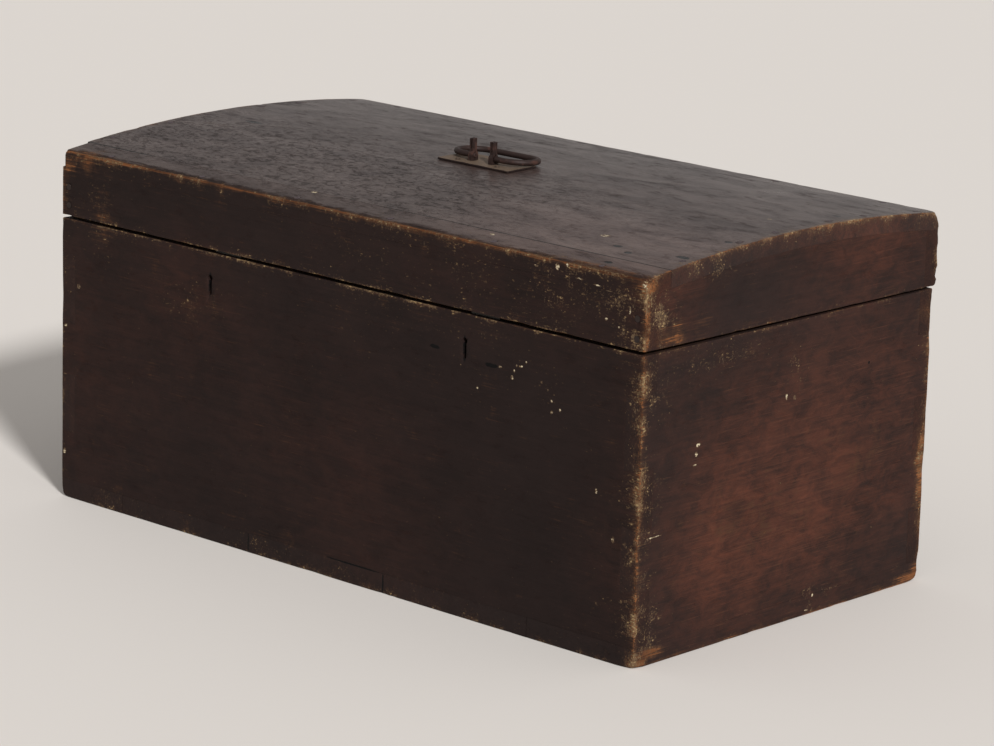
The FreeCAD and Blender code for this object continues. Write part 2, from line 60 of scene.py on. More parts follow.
# %% Camera
camera_place = (3.4351, -3.7216, 1.4741)
camera_azimuth = 42.509
camera_elevation = 13.939
camera_roll = 1.644
camera_lens = 148.192
camera_sensor = 36.0

camera_data = bpy.data.cameras.new("camera")
camera_data.sensor_fit = "HORIZONTAL"
camera_data.sensor_width = camera_sensor
camera_data.lens = camera_lens
camera = bpy.data.objects.new("camera", camera_data)
bpy.context.scene.collection.objects.link(camera)
aim = Euler((math.radians(90 - camera_elevation), 0, math.radians(camera_azimuth))).to_matrix()
roll = Euler((0, 0, math.radians(camera_roll))).to_matrix()
camera.matrix_world = (aim @ roll).to_4x4()
camera.location = camera_place
bpy.context.scene.camera = camera
bpy.context.scene.view_settings.view_transform = "Standard"
print("camera at", camera_place, "with a lens of", camera_lens, "mm")

# %% [markdown]
# ## One function for nodes, one for colours
# Every material below is a small graph of nodes. Writing each node as one call keeps the graphs
# short: the call names the kind of node, its settings, and what goes into its sockets. Colours are
# written as they look on a screen, in sRGB hex, and turned to the linear values that a render
# works in. Three sets of settings come up again and again: a step with soft ends, a mix of two
# colours and a product. So do sums of patterns, each with its own share.

# %% Helpers for materials
smooth = {"interpolation_type": "SMOOTHSTEP"}
mixed = {"out": 2, "data_type": "RGBA"}
product = {"operation": "MULTIPLY"}


def linear(hex_colour):
    """Linear RGBA of an sRGB colour such as #2d2220."""
    shares = [int(hex_colour[place:place + 2], 16) / 255 for place in (1, 3, 5)]
    return [s / 12.92 if s <= 0.04045 else ((s + 0.055) / 1.055) ** 2.4 for s in shares] + [1.0]


def add(tree, kind, inputs, out=0, **settings):
    """Add one node with its settings, fill or link its inputs, and return one of its outputs."""
    node = tree.nodes.new("ShaderNode" + kind)
    for name, value in settings.items():
        setattr(node, name, value)
    for name, value in inputs.items():
        if isinstance(value, bpy.types.NodeSocket):
            tree.links.new(value, node.inputs[name])
        else:
            node.inputs[name].default_value = linear(value) if isinstance(value, str) else value
    return None if out is None else node.outputs[out]


def total(tree, start, shares):
    """Sum of a value and of patterns, each times its share."""
    for pattern, share in shares:
        start = add(tree, "Math", {0: pattern, 1: share, 2: start}, operation="MULTIPLY_ADD")
    return start


def empty_material(name):
    """A new material, its empty tree, and the places on its object in millimetres."""
    material = bpy.data.materials.new(name)
    material.use_nodes = True
    tree = material.node_tree
    tree.nodes.clear()
    place = add(tree, "TexCoord", {}, out="Object")
    return material, tree, add(tree, "VectorMath", {0: place, 3: 1 / mm}, operation="SCALE")


print("dark paint in linear light:", [round(part, 4) for part in linear("#2d2220")])

# %% [markdown]
# ## Floor
# A plain pale floor carries the shadow. It is one large square, so that no edge shows from any
# side, and it lies a hair under the chest, so that the two don't flicker where they touch.

# %% Floor
floor_size = 60.0
floor_drop = 0.0002
floor_colour = "#e9e3dd"
floor_roughness = 0.75
floor_shine = 0.2

floor_mesh = bpy.data.meshes.new("floor")
floor_bm = bmesh.new()
bmesh.ops.create_grid(floor_bm, x_segments=1, y_segments=1, size=floor_size / 2)
bmesh.ops.translate(floor_bm, verts=floor_bm.verts, vec=(0, 0, -floor_drop))
floor_bm.to_mesh(floor_mesh)
floor_bm.free()
floor = bpy.data.objects.new("floor", floor_mesh)
bpy.context.scene.collection.objects.link(floor)
# matt pale paint, which gives the eye an even ground without a mirror image
floor_paint = bpy.data.materials.new("pale floor")
floor_paint.use_nodes = True
floor_shader = floor_paint.node_tree.nodes["Principled BSDF"]
floor_shader.inputs["Base Color"].default_value = linear(floor_colour)
floor_shader.inputs["Roughness"].default_value = floor_roughness
floor_shader.inputs["Specular IOR Level"].default_value = floor_shine
floor_mesh.materials.append(floor_paint)
print("floor of", floor_size, "m")

# %% [markdown]
# ## Light
# The key light is a sun with a wide disc, low at the right and a little to the front, where the
# photograph's light stands, and an even pale world fills the shadows. Both together give a white
# sheet of paper about its own colour. Lamps of a set size would do too, but a sun lights every part
# of the chest alike.

# %% World and sun
world_colour = "#f7f5f3"
world_strength = 0.42
sun_strength = 2.9
sun_elevation = 33.0
sun_azimuth = 63.0
sun_disc = 7.0

world = bpy.data.worlds.new("pale room")
world.use_nodes = True
world.node_tree.nodes["Background"].inputs["Color"].default_value = linear(world_colour)
world.node_tree.nodes["Background"].inputs["Strength"].default_value = world_strength
bpy.context.scene.world = world

sun_data = bpy.data.lights.new("sun", "SUN")
sun_data.energy = sun_strength
sun_data.angle = math.radians(sun_disc)
sun = bpy.data.objects.new("sun", sun_data)
sun.rotation_euler = (math.radians(90 - sun_elevation), 0, math.radians(sun_azimuth))
bpy.context.scene.collection.objects.link(sun)
print("sun", sun_elevation, "degrees up")

# %% [markdown]
# ## The outside of the chest
# Use wears a chest on its outside: where two faces of the box or of the lid meet, hands and floors
# round the arris and rub the paint away, whichever board happens to lie there. So the box and the
# lid each get a shell, a list of outer faces, and every point of a board can ask how deep it lies
# under each of them. The lid's top is an arc, and its depth is measured along the arc's radius.
# From here on lengths are in millimetres.

# %% Shells of the box and the lid
# the lid's arc as in the CAD model: its centre and its radius
arch_y = 24.4574
arch_z = -1632.8003
arch_radius = 2117.6541
box_low, box_high = [Vector(corner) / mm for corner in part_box("front_board")]
back_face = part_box("back_board")[1].y / mm
floor_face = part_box("bottom_board_1")[0].z / mm
lid_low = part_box("lid_front_rail")[0] / mm
lid_back_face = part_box("lid_back_rail")[1].y / mm
lid_back_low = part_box("lid_back_rail")[0].z / mm


def plane(axis, place, inward):
    """Outer face of the shell: depths of points under it, and the way in."""
    direction = np.zeros(3)
    direction[axis] = inward

    def under(points):
        return (points[:, axis] - place) * inward, np.tile(direction, (len(points), 1))

    return under


def arch(points):
    """Depths of points under the lid's arc, and the way in to its centre."""
    offsets = points - np.array((0, arch_y, arch_z))
    offsets[:, 0] = 0
    reach = np.linalg.norm(offsets, axis=1)
    return arch_radius - reach, -offsets / reach[:, None]


def lid_under(points):
    """Depths of points above the lid's underside, which falls a little to the back."""
    share = np.clip((points[:, 1] - lid_low.y) / (lid_back_face - lid_low.y), 0, 1)
    level = lid_low.z + (lid_back_low - lid_low.z) * share
    return np.maximum(points[:, 2] - level, 0), np.tile((0.0, 0.0, 1.0), (len(points), 1))


shells = {
    "box": {
        "left": plane(0, box_low.x, 1), "right": plane(0, box_high.x, -1),
        "front": plane(1, box_low.y, 1), "back": plane(1, back_face, -1),
        "bottom": plane(2, floor_face, 1), "rim": plane(2, box_high.z, -1),
    },
    "lid": {
        "left": plane(0, box_low.x, 1), "right": plane(0, box_high.x, -1),
        "front": plane(1, box_low.y, 1), "back": plane(1, lid_back_face, -1),
        "under": lid_under, "top": arch,
    },
}
print("shells:", {body: list(faces) for body, faces in shells.items()})

# %% [markdown]
# ## How the arrises wear
# Each arris, the line where two faces meet, has its own wear: the lid's front edge takes the hands,
# the right corner faces the room, the back is spared. A wear has a strength and a width, once for
# wood rubbed bare and once for flecks of the pale ground. The same numbers could be painted by hand
# as a picture, but a table follows the boards when their sizes change.

# %% Wear of the arrises
# faces that meet: strength and width of bare wood, strength and width of flecks
rub = {
    "box": {
        ("front", "right"): (0.78, 11, 0.7, 26), ("front", "left"): (0.45, 4, 0.6, 9),
        ("back", "right"): (0.75, 9, 0.6, 14), ("back", "left"): (0.6, 6, 0.4, 10),
        ("front", "rim"): (0.52, 3, 0.8, 5), ("right", "rim"): (0.45, 3, 0.5, 6),
        ("left", "rim"): (0.5, 4, 0.4, 5), ("back", "rim"): (0.45, 4, 0.3, 5),
        ("front", "bottom"): (0.32, 6, 0.5, 9), ("right", "bottom"): (0.7, 5, 0.35, 8),
        ("left", "bottom"): (0.6, 6, 0.3, 8), ("back", "bottom"): (0.6, 6, 0.3, 8),
    },
    "lid": {
        ("front", "top"): (1.06, 4.5, 0.6, 13), ("right", "top"): (0.72, 9, 0.66, 14),
        ("left", "top"): (0.75, 8, 0.4, 12), ("back", "top"): (0.55, 6, 0.3, 8),
        ("front", "right"): (0.85, 6, 0.68, 28), ("front", "left"): (0.6, 7, 0.45, 14),
        ("back", "right"): (0.7, 8, 0.72, 12), ("back", "left"): (0.55, 7, 0.35, 10),
        ("front", "under"): (0.48, 3, 0.65, 6), ("right", "under"): (0.45, 4, 0.4, 6),
        ("left", "under"): (0.45, 4, 0.3, 6), ("back", "under"): (0.4, 4, 0.3, 6),
    },
}
seam_wear = (0.12, 2.5, 0.2, 4)
print("arrises that wear:", {body: len(places) for body, places in rub.items()})

# %% [markdown]
# ## Patches of wear
# Some places wear by themselves: a corner that knocked on door frames, a stretch where the paint has
# gone thin and lets the red of the wood through. Each patch is a soft ellipsoid with a place, a
# reach and a weight, placed where the photograph shows such a mark, with a few more on the sides
# that it doesn't show.

# %% Patches of wear
# place, reach all round or per axis, and weight
patches = {
    "rubbed": [
        ((500, -225, 392), (20, 50, 17), 0.66), ((500, -263, 456), (30, 15, 12), 1.0),
        ((500, -268, 410), (8, 7, 42), 0.95), ((500, -262, 0), 22, 0.85),
        ((500, -240, 14), (20, 30, 9), 0.7), ((500, 268, 12), 18, 0.8),
        ((-484, -272, 446), 18, 0.6), ((-425, -272, 380), 32, 0.42), ((-455, -272, 466), 26, 0.75),
        ((500, 262, 345), 26, 0.55), ((500, -272, 452), 18, 0.75),
        ((-262, -272, 305), (46, 20, 24), 0.3), ((-106, -272, 4), 60, 0.1),
        ((-420, -272, 4), 60, 0.14), ((500, 60, 130), 90, 0.15),
        ((500, 266, 152), (20, 16, 62), 0.85), ((500, -70, 148), (20, 130, 45), 0.34),
        ((500, 120, 170), (20, 80, 40), 0.3), ((500, 250, 5), (20, 30, 12), 0.8),
        ((430, -262, 466), (100, 9, 12), 0.8),
    ],
    "flecked": [
        ((465, -272, 420), 50, 0.55), ((380, -272, 446), 80, 0.42), ((480, -272, 398), 26, 0.7),
        ((240, -272, 440), 130, 0.32), ((500, -160, 466), (20, 60, 22), 0.55),
        ((500, -240, 420), (20, 26, 40), 0.75), ((500, -262, 320), 44, 0.55),
        ((490, -272, 60), 36, 0.55), ((500, -258, 48), 30, 0.6), ((312, -272, 322), 24, 0.35),
        ((358, -272, 296), 32, 0.3), ((500, -262, 210), 40, 0.5), ((500, 60, 18), 40, 0.4),
        ((500, -172, 240), 20, 0.3), ((60, -272, 420), 120, 0.24), ((500, 8, 316), (20, 26, 50), 0.42),
        ((-430, -272, 390), 60, 0.35), ((-262, -272, 305), (70, 20, 34), 0.4),
        ((500, 264, 152), (20, 14, 60), 0.6), ((500, -150, 350), (20, 110, 26), 0.45),
        ((-120, -272, 10), (70, 20, 20), 0.4), ((-390, -272, 10), (60, 20, 20), 0.4),
        ((40, -272, 10), (60, 20, 14), 0.3), ((500, -240, 40), (20, 28, 40), 0.6),
        ((500, 75, 25), (20, 90, 2.5), 0.5),
    ],
    "ruddy": [
        ((500, 10, 125), (80, 215, 130), 0.42), ((500, 0, 290), (40, 240, 80), 0.2),
        ((500, -130, 110), 90, 0.26), ((500, 200, 240), (80, 110, 150), 0.2),
        ((-500, 0, 190), 220, 0.4), ((500, 160, 445), (30, 130, 60), 0.3),
        ((500, -225, 430), (30, 60, 55), 0.3), ((500, 0, 480), (20, 160, 26), 0.2),
        ((500, -90, 210), (30, 50, 60), 0.14), ((-80, -272, 190), 130, 0.05),
        ((60, -272, 90), 150, 0.06), ((-251, -272, 303), 80, 0.1), ((300, -272, 410), (260, 30, 60), 0.06),
    ],
}
print("patches:", {kind: len(places) for kind, places in patches.items()})

# %% [markdown]
# ## Chips
# Softwood loses splinters along its arrises. The larger chips are placed one by one where a corner is
# broken, and small ones are scattered along every arris with a fixed seed, so that each run of the
# script breaks the same places.

# %% Chips
# place, reach and depth
chips = {
    "box": [
        ((500, -272, 0), 18, 6), ((500, 272, 0), 16, 6), ((-500, -272, 0), 14, 4), ((500, -272, 375), 12, 3),
        ((500, -272, 150), 14, 3), ((500, -272, 55), 12, 3), ((500, 272, 22), 16, 4),
        ((500, 272, 352), 9, 5), ((500, 272, 318), 11, 4), ((500, 272, 285), 10, 4),
        ((500, 272, 150), 16, 4),
    ],
    "lid": [
        ((-500, -272, 464), 16, 6), ((500, -272, 464), 15, 6), ((500, -268, 440), 10, 3),
        ((285, -272, 464), 10, 3), ((-500, 279, 470), 12, 4), ((500, 279, 380), 8, 4),
        ((500, 279, 392), 7, 9), ((500, 279, 467), 15, 8), ((500, 279, 445), 12, 4),
        ((500, 279, 422), 13, 4),
    ],
}
chip_seed = 11
chip_spacing = 85.0
chip_reach = (5.0, 15.0)
chip_depth = (0.8, 2.6)


def scatter_chips(body):
    """Small chips along every arris of a shell, always the same ones."""
    draw = np.random.default_rng(chip_seed)
    front, back = box_low.y, (back_face if body == "box" else lid_back_face)
    low, high = (floor_face, box_high.z) if body == "box" else (lid_low.z, None)
    made = []
    for x in (box_low.x, box_high.x):
        for y in np.arange(front, back, chip_spacing):
            shift = draw.uniform(0, chip_spacing)
            top = high if high else arch_z + math.sqrt(arch_radius ** 2 - (y + shift - arch_y) ** 2)
            made += [(x, y + shift, z) for z in (low, top)]
    for y in (front, back):
        for x in np.arange(box_low.x, box_high.x, chip_spacing):
            shift = draw.uniform(0, chip_spacing)
            top = high if high else arch_z + math.sqrt(arch_radius ** 2 - (y - arch_y) ** 2)
            made += [(x + shift, y, z) for z in (low, top)]
    for x in (box_low.x, box_high.x):
        for y in (front, back):
            for z in np.arange(low, high or low + chip_spacing, chip_spacing):
                made.append((x, y, z + draw.uniform(0, chip_spacing)))
    return [(place, draw.uniform(*chip_reach), draw.uniform(*chip_depth)) for place in made]


for body in chips:
    chips[body] = chips[body] + scatter_chips(body)
print("chips:", {body: len(places) for body, places in chips.items()})

# %% [markdown]
# ## A board as a grid
# A worn board starts as a copy of its CAD mesh, whose loose triangles are merged. A small bevel
# breaks its own edges, so that joints show as fine lines. Then planes cut it into a grid, close
# together near the arrises, because only a vertex can move. A modifier could subdivide it too, but
# cuts put the vertices just where the wear needs them.

# %% Grid of cuts
near_cuts = (0.6, 1.5, 3.0, 5.0, 8.0, 12.0, 19.0, 25.0)
merge_reach = 0.001
cut_reach = 0.0001
bevel_steps = 2
sharp_bend = math.radians(40)
flat_bend = math.radians(0.8)


def stations(low, high, step):
    """Places of the cutting planes between two faces of a board."""
    near = [low + cut for cut in near_cuts] + [high - cut for cut in near_cuts]
    regular = np.arange(low + near_cuts[-1] + step / 2, high - near_cuts[-1], step)
    return sorted(place for place in [*near, *regular] if low < place < high)


def gridded(node, long_axis, joint, along, across, shortest):
    """Merged copy of a piece, with bevelled edges and a grid of cuts, and its own long edges."""
    bm = bmesh.new()
    bm.from_mesh(nodes[node].data)
    bmesh.ops.scale(bm, vec=(1 / mm, 1 / mm, 1 / mm), verts=bm.verts)
    bmesh.ops.remove_doubles(bm, verts=bm.verts, dist=merge_reach)
    bmesh.ops.dissolve_limit(bm, angle_limit=flat_bend, verts=bm.verts, edges=bm.edges)
    crisp = [edge for edge in bm.edges if len(edge.link_faces) == 2 and edge.calc_length() > shortest
             and edge.calc_face_angle() > sharp_bend]
    lines = [[np.array(vert.co) for vert in edge.verts] for edge in crisp]
    bmesh.ops.bevel(bm, geom=crisp, offset=joint, segments=bevel_steps, profile=0.5, affect="EDGES",
                    material=-1, clamp_overlap=True)
    corners = np.array([vert.co for vert in bm.verts])
    for axis in range(3):
        normal = [0, 0, 0]
        normal[axis] = 1
        step = along if axis == long_axis else across
        for place in stations(corners[:, axis].min(), corners[:, axis].max(), step):
            everything = bm.verts[:] + bm.edges[:] + bm.faces[:]
            bmesh.ops.bisect_plane(bm, geom=everything, dist=cut_reach,
                                   plane_co=[place * part for part in normal], plane_no=normal)
    return bm, lines


print(len(near_cuts), "cuts beside each face, the last", near_cuts[-1], "mm from it")

# %% [markdown]
# ## Rounded arrises and uneven faces
# Each vertex near an arris is drawn onto a quarter circle whose radius swells and shrinks along the
# arris, and a chip deepens it. The flat faces get a slight wave, as planed boards have. A bevel
# alone would give every arris the same radius, which the eye takes for new work.

# %% Rounding
round_radius = 1.6
round_swing = 1.3
least_radius = 0.4
round_wave = 70.0
wave_share = 0.7
round_ripple = 17.0
ripple_share = 0.5
wave_depth = 0.5
wave_length = 90.0
skin = 0.35
seam_round = 0.65
seam_reach = 9.0
least_push = 1e-9
seed_step = Vector((37.0, 17.0, 5.0))


def wander(points, length, seed):
    """Smooth noise from -1 to 1 at every point, with features of a given length."""
    start = seed_step * seed
    return np.array([noise.noise(Vector(point) / length + start) for point in points])


def chipped(points, body):
    """Depth of the chips at every point."""
    depth = np.zeros(len(points))
    for place, reach, most in chips[body]:
        gap = np.linalg.norm(points - np.array(place), axis=1) / reach
        depth = np.maximum(depth, most * np.clip(1 - gap ** 2, 0, 1))
    return depth


def worn_places(points, depths, ways, chip, settle, seam):
    """Where the points lie after the arrises have been rounded and the faces have moved."""
    radius = round_radius + round_swing * (
        wave_share * wander(points, round_wave, 1) + ripple_share * wander(points, round_ripple, 2))
    radius = radius * (seam_round + (1 - seam_round) * np.clip(seam / seam_reach, 0, 1))
    radius = np.maximum(radius, least_radius) + chip
    wave = settle + wave_depth * (0.5 + 0.5 * wander(points, wave_length, 3))
    moved = np.where(depths < skin, depths + wave, depths)
    push = np.maximum(radius - moved, 0)
    length = np.maximum(np.linalg.norm(push, axis=0), least_push)
    push = push * np.minimum(1, radius / length)
    settled = np.where(moved < radius, radius - push, moved)
    return points + sum((new - old)[:, None] * way for new, old, way in zip(settled, depths, ways))


print("arrises rounded to about", round_radius, "mm, faces uneven by", wave_depth, "mm")

# %% [markdown]
# ## Weights of wear
# The paint has to know where it is worn, so every vertex carries weights: rubbed, flecked, ruddy,
# painted and dirt. A hand could paint them, but here the tables above give them. The weights of
# rubbing and flecks are kept as logarithms, which fall in straight lines away from an arris, so
# they stay true between the vertices. The material turns them back.

# %% Weights of wear
least_weight = 1e-4
chip_wear = 0.05
dirt_reach = 7.0
paint_reach = 5.5
paint_fade = 12.0
far_away = 1e3
bare_faces = ("rim", "under", "bottom")


def gap_to_lines(points, lines):
    """Distance from every point to the nearest of some straight edges."""
    nearest = np.full(len(points), far_away)
    for start, end in lines:
        way = end - start
        share = np.clip((points - start) @ way / (way @ way), 0, 1)
        nearest = np.minimum(nearest, np.linalg.norm(points - start - share[:, None] * way, axis=1))
    return nearest


def gap_to_patch(points, place, reach):
    """Distance from every point to a patch's middle, where 1 is its reach."""
    return np.linalg.norm((points - np.array(place)) / np.array(reach), axis=1)


def paint_weights(points, body, faces, depths, chip, lines, edges):
    """Logarithms of the wear at every point, and what is painted, ruddy or dirty."""
    weights = {"dirt": np.exp(-gap_to_lines(points, edges) / dirt_reach)}
    seam = gap_to_lines(points, lines)
    for name, first in (("rubbed", 0), ("flecked", 2)):
        weight = math.log(seam_wear[first]) - seam / seam_wear[first + 1]
        for (one, other), wear in rub[body].items():
            gap = np.maximum(depths[faces.index(one)], depths[faces.index(other)])
            weight = np.maximum(weight, math.log(wear[first]) - gap / wear[first + 1])
        for place, reach, most in patches[name]:
            weight = np.maximum(weight, math.log(most) - gap_to_patch(points, place, reach) ** 2)
        weights[name] = np.maximum(weight, math.log(least_weight)) + chip_wear * chip
    dark = np.ones(len(points))
    for place, reach, most in patches["ruddy"]:
        dark = dark * (1 - most * np.exp(-gap_to_patch(points, place, reach) ** 2))
    weights["ruddy"] = 1 - dark
    coated = depths[[place for place, face in enumerate(faces) if face not in bare_faces]]
    weights["painted"] = np.clip(1 - (coated.min(axis=0) - paint_reach) / paint_fade, 0, 1)
    return weights


print("paint ends", paint_reach + paint_fade, "mm inside the outer faces")

# %% [markdown]
# ## Ageing a board
# The steps above come together here: grid, wear, new places, weights. The worn board then takes
# the CAD board's place in the scene and rides on the same body, so it moves with the lid or stays
# with the box. The CAD node itself isn't touched.

# %% Worn board
long_step = 10.0
wide_step = 26.0
least_bevelled = 12.0
least_joint = 22.0
smooth_bend = math.radians(38)


def shown(name, mesh, body, node, material):
    """Put a finished mesh in the scene in place of a CAD node."""
    mesh.shade_smooth()
    mesh.set_sharp_from_angle(angle=smooth_bend)
    mesh.materials.append(material)
    piece = bpy.data.objects.new(name, mesh)
    bpy.context.scene.collection.objects.link(piece)
    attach(piece, body)
    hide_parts(node)
    print(name, len(mesh.polygons), "faces")
    return piece


def at_outside(line, body):
    """Whether both ends of an edge lie in the shell's outer faces."""
    depths = [under(np.array(line))[0] for under in shells[body].values()]
    return np.min(depths, axis=0).max() < skin


def age_board(node, body, long_axis, settle, joint, slot, material):
    """Make the worn board that stands for a CAD board."""
    bm, lines = gridded(node, long_axis, joint, long_step, wide_step, least_bevelled)
    points = np.array([vert.co for vert in bm.verts])
    faces = list(shells[body])
    depths, ways = zip(*[shells[body][face](points) for face in faces])
    depths = np.array(depths)
    chip = chipped(points, body)
    outer = [line for line in lines
             if np.linalg.norm(line[1] - line[0]) > least_joint and at_outside(line, body)]
    weights = paint_weights(points, body, faces, depths, chip, outer, lines)
    seam = depths[faces.index("rim" if body == "box" else "under")]
    for vert, place in zip(bm.verts, worn_places(points, depths, ways, chip, settle, seam)):
        vert.co = Vector(place) * mm
    mesh = bpy.data.meshes.new("worn_" + node)
    bm.to_mesh(mesh)
    bm.free()
    for name, values in weights.items():
        mesh.attributes.new(name, "FLOAT", "POINT").data.foreach_set("value", values.astype(np.float32))
    return shown("worn_" + node, mesh, body, node, material)


print("a grid of", long_step, "by", wide_step, "mm")

# %% [markdown]
# ## Worn paint on pine: its patterns
# The finish is a thin dark brown paint on pine. Brush marks, growth rings, smudges and flakes each
# have a size that can be measured in millimetres. All are noise, which has no repeat and needs no
# picture, and most are drawn out along the grain. Wood fibres are far finer than a pixel, so they
# are drawn as coarse as they need to show.

# %% Patterns of paint and wood
# width, share of it along the grain, detail, roughness and warp
patterns = {
    "streaks": (3.0, 0.03, 4.0, 0.6, 0.0),
    "fibres": (1.5, 0.03, 2.0, 0.6, 0.0),
    "clouds": (110.0, 1.0, 3.0, 0.5, 0.0),
    "breaks": (26.0, 1.0, 2.0, 0.5, 0.0),
    "grit": (6.0, 1.0, 4.0, 0.65, 0.0),
    "specks": (2.4, 0.5, 2.0, 0.5, 0.0),
    "smudges": (20.0, 0.5, 6.0, 0.75, 0.6),
    "growth": (13.0, 0.012, 5.0, 0.72, 0.5),
    "smears": (46.0, 0.4, 6.0, 0.7, 0.8),
    "wrinkles": (10.0, 0.4, 5.0, 0.7, 0.6),
    "mottle": (8.0, 0.6, 4.0, 0.7, 1.0),
}
# scrapes run up and down, whichever way the grain runs
scrape_pattern = (2.0, 0.35, 3.0, 0.5, 1.6)
upright_axis = 2


def drawn_out(tree, sizes, axis, width, share, detail, roughness, warp):
    """Noise with features of a given width, drawn out along one axis."""
    scale = [1.0, 1.0, 1.0]
    scale[axis] = share
    vector = add(tree, "VectorMath", {0: sizes, 1: scale}, **product)
    return add(tree, "TexNoise", {"Vector": vector, "Scale": 1 / width, "Detail": detail,
                                  "Roughness": roughness, "Distortion": warp})


def nearest_mark(tree, sizes, marks):
    """Distance to the nearest of some ellipsoids, where 1 is the surface."""
    nearest = None
    for place, halves in marks:
        scale = [1 / half for half in halves]
        shift = [-part / half for part, half in zip(place, halves)]
        offset = add(tree, "VectorMath", {0: sizes, 1: scale, 2: shift}, operation="MULTIPLY_ADD")
        gap = add(tree, "VectorMath", {0: offset}, out="Value", operation="LENGTH")
        nearest = gap if nearest is None else add(tree, "Math", {0: nearest, 1: gap}, operation="MINIMUM")
    return nearest


print("patterns:", ", ".join(patterns), "and scrapes")

# %% [markdown]
# ## Bare wood
# Pine grows pale in spring and dark in summer, and a board shows both as lines along its length.
# Where the paint is rubbed off, oil and hands have made the wood brown orange. Inside the chest it
# never was painted, so there it is paler and dull, with dirt where boards meet.

# %% Bare wood
summer_wood = "#3a2012"
spring_wood = "#8a5834"
raw_summer = "#654a34"
raw_spring = "#876647"
raw_stain = "#5a4331"
joint_dirt = "#2c2019"


def growth_rings(tree, noises):
    """Share of pale spring wood between the dark summer lines."""
    lines = total(tree, noises["growth"], [(noises["fibres"], 0.35)])
    return add(tree, "MapRange", {0: lines, 1: 0.5, 2: 0.86}, **smooth)


def unpainted(tree, noises, weight, rings):
    """Colour of the inside, stained in clouds and dirty at the joints."""
    stain = add(tree, "MapRange", {0: noises["clouds"], 1: 0.4, 2: 0.7, 4: 0.5}, **smooth)
    dirt = add(tree, "Math", {0: weight["dirt"], 1: 0.75}, **product)
    raw = add(tree, "Mix", {0: rings, 6: raw_summer, 7: raw_spring}, **mixed)
    raw = add(tree, "Mix", {0: stain, 6: raw, 7: raw_stain}, **mixed)
    return add(tree, "Mix", {0: dirt, 6: raw, 7: joint_dirt}, **mixed)


print("rings about", patterns["growth"][0], "mm apart")

# %% [markdown]
# ## Paint coat
# The paint is nearly black where it is thick, and lets the red of the wood through where it has
# worn thin. Smudges break both, so no patch has a smooth edge, and fine scratches follow the grain
# where the coat is thinnest.

# %% Paint coat
thick_paint = "#211715"
thin_paint = "#5e3323"
scratch_colour = "#5a382a"


def paint_coat(tree, noises, weight):
    """Colour of the paint on the sides."""
    broken = add(tree, "MapRange", {0: noises["smudges"], 1: 0.3, 2: 0.7, 3: -0.45, 4: 0.45}, **smooth)
    thin = total(tree, noises["clouds"], [(noises["streaks"], 0.8), (broken, 1.0)])
    thin = add(tree, "Math", {0: thin, 1: weight["ruddy"]}, **product)
    coat = add(tree, "Mix", {0: thin, 6: thick_paint, 7: thin_paint}, **mixed)
    tone = total(tree, noises["clouds"], [(noises["streaks"], 0.7), (noises["smudges"], 1.0)])
    tone = add(tree, "MapRange", {0: tone, 1: 1.0, 2: 1.7, 3: 0.8, 4: 1.2})
    coat = add(tree, "VectorMath", {0: coat, 3: tone}, operation="SCALE")
    scratches = total(tree, noises["fibres"], [(weight["ruddy"], 0.35)])
    scratches = add(tree, "MapRange", {0: scratches, 1: 0.68, 2: 0.84, 4: 0.3}, **smooth)
    return add(tree, "Mix", {0: scratches, 6: coat, 7: scratch_colour}, **mixed)


print("paint from", thick_paint, "where thick to", thin_paint, "where thin")

# %% [markdown]
# ## The lid's top
# Faces that look up have gone grey in smears. The coat has shrunk there into folds, and towards the
# front left it has crackled and lifted in small flakes. All of it ends in a ragged brown fringe at
# the front arris, where hands keep it rubbed.
# A painted sheen makes the grey paler towards the front right.

# %% Paint on the lid's top
# stretches along the depth or the length over which an effect comes or goes
fringe_stretch = (-249.0, -236.0)
fringe_swing = 40.0
crackle_front = (-275.0, -215.0)
crackle_back = (-90.0, 70.0)
crackle_right = (60.0, 320.0)
# painted sheen: the top is painted paler over these stretches, most at the front right
painted_sheen_back = (-150.0, -30.0)
painted_sheen_right = (40.0, 300.0)
upward_facing = (0.55, 0.9)
grey_paint = "#5e4c46"
smeared_paint = "#423330"
fold_colour = "#1f1816"
crack_colour = "#1c1413"
flake_colour = "#6e605c"


def between(value, limits, start=0.0, end=1.0):
    """Inputs of a step of a value between two limits."""
    return {0: value, 1: limits[0], 2: limits[1], 3: start, 4: end}


def top_share(tree, noises, facing, depth_way, greying):
    """How far a face looks up and lies behind the brown fringe."""
    fringe = total(tree, depth_way, [(noises["smudges"], fringe_swing)])
    behind = add(tree, "MapRange", between(fringe, fringe_stretch), **smooth)
    upward = add(tree, "MapRange", between(facing, upward_facing, 0.0, greying), **smooth)
    return add(tree, "Math", {0: upward, 1: behind}, **product)


def top_damage(tree, noises, long_way, depth_way):
    """Shares of folds, of dark cracks and of pale flakes on the top."""
    folds = total(tree, noises["wrinkles"], [(noises["smears"], 0.4)])
    folds = add(tree, "MapRange", {0: folds, 1: 0.74, 2: 0.9}, **smooth)
    front = add(tree, "MapRange", between(depth_way, crackle_front), **smooth)
    back = add(tree, "MapRange", between(depth_way, crackle_back, 1.0, 0.2), **smooth)
    right = add(tree, "MapRange", between(long_way, crackle_right, 1.0, 0.3), **smooth)
    crackled = add(tree, "Math", {0: front, 1: back}, **product)
    crackled = add(tree, "Math", {0: crackled, 1: right}, **product)
    cracks = add(tree, "MapRange", {0: noises["mottle"], 1: 0.4, 2: 0.5, 3: 1.0, 4: 0.0}, **smooth)
    flakes = add(tree, "MapRange", {0: noises["mottle"], 1: 0.56, 2: 0.68, 4: 0.5}, **smooth)
    cracks = add(tree, "Math", {0: cracks, 1: crackled}, **product)
    flakes = add(tree, "Math", {0: flakes, 1: crackled}, **product)
    return folds, cracks, flakes


